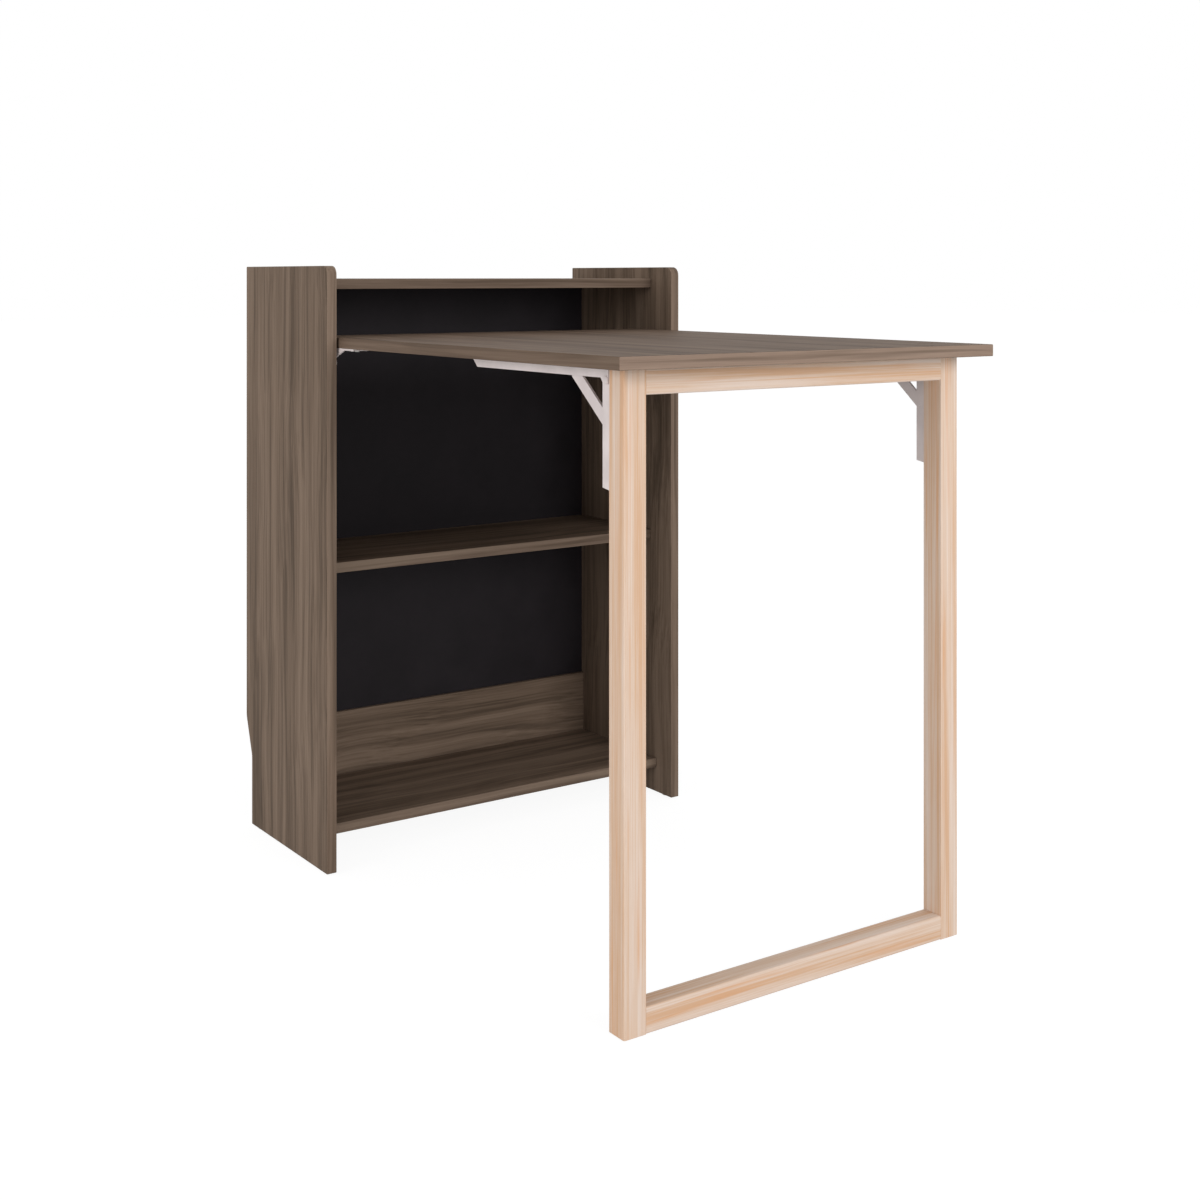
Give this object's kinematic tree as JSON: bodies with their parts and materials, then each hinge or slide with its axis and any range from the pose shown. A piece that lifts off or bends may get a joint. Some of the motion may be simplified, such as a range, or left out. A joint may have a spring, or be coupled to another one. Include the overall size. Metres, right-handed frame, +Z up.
{
  "type": "folding desk",
  "caption": "Folding desk: a shallow open cabinet with a hinged desk top between its sides and a leg frame that folds under the top on strutted steel brackets.",
  "frame": {"origin": "floor, at the middle of the unfolded desk's outline", "axes": "+X across the desk to the sitter's right, +Y from the sitter to the wall, +Z up"},
  "size_m": [0.616, 0.963, 0.851],
  "materials": {
    "walnut_board": "satin dark grained board",
    "pine": "clear matt pine",
    "dowel_beech": "bare fluted beech",
    "black_board": "matt black hardboard",
    "painted_steel": "light grey paint",
    "screw_steel": "zinc plated",
    "zinc": "die-cast zinc",
    "glide_plastic": "moulded glide"
  },
  "bodies": {
    "cabinet": {"side_panel_left": "walnut_board", "side_panel_right": "walnut_board", "top_shelf": "walnut_board", "middle_shelf": "walnut_board", "bottom_shelf": "walnut_board", "back_panel": "black_board", "back_rail": "walnut_board", "shelf_dowels": "dowel_beech", "cam_discs": "zinc", "cam_bolts": "zinc", "back_rail_dowels": "dowel_beech", "panel_glides": "glide_plastic", "hinge_stud_plate_left": "painted_steel", "hinge_stud_plate_right": "painted_steel", "stud_plate_screws": "screw_steel"},
    "desk_top": {"desk_top": "walnut_board", "hinge_leaf_left": "painted_steel", "hinge_leaf_right": "painted_steel", "hinge_leaf_screws": "screw_steel", "bracket_top_arm_left": "painted_steel", "bracket_top_arm_right": "painted_steel", "top_arm_screws": "screw_steel", "fold_pins": "painted_steel"},
    "leg_frame": {"leg_left": "pine", "leg_right": "pine", "upper_crossbar": "pine", "lower_crossbar": "pine", "leg_frame_dowels": "dowel_beech", "leg_glides": "glide_plastic", "bracket_leg_arm_left": "painted_steel", "bracket_leg_arm_right": "painted_steel", "leg_arm_screws": "screw_steel", "strut_pins": "painted_steel"},
    "strut_left": {"strut_left": "painted_steel"},
    "strut_right": {"strut_right": "painted_steel"}
  },
  "joints": [
    {"name": "top_lift", "type": "hinge", "parent": "cabinet", "child": "desk_top", "pos_m": [0, 0.2205, 0.7145], "axis": [-1, 0, 0], "range_deg": [0, 25]},
    {"name": "leg_fold", "type": "hinge", "parent": "desk_top", "child": "leg_frame", "pos_m": [0, -0.413, 0.7215], "axis": [1, 0, 0], "range_deg": [0, 90]},
    {"name": "strut_left_fold", "type": "hinge", "parent": "leg_frame", "child": "strut_left", "pos_m": [-0.25, -0.4087, 0.673], "axis": [1, 0, 0], "range_deg": [-130, 0]},
    {"name": "strut_right_fold", "type": "hinge", "parent": "leg_frame", "child": "strut_right", "pos_m": [0.24, -0.4087, 0.673], "axis": [1, 0, 0], "range_deg": [-130, 0]}
  ],
  "couplings": [
    {"joint": "strut_left_fold", "follows": "leg_fold", "ratio": -1.4406},
    {"joint": "strut_right_fold", "follows": "leg_fold", "ratio": -1.4406}
  ]
}
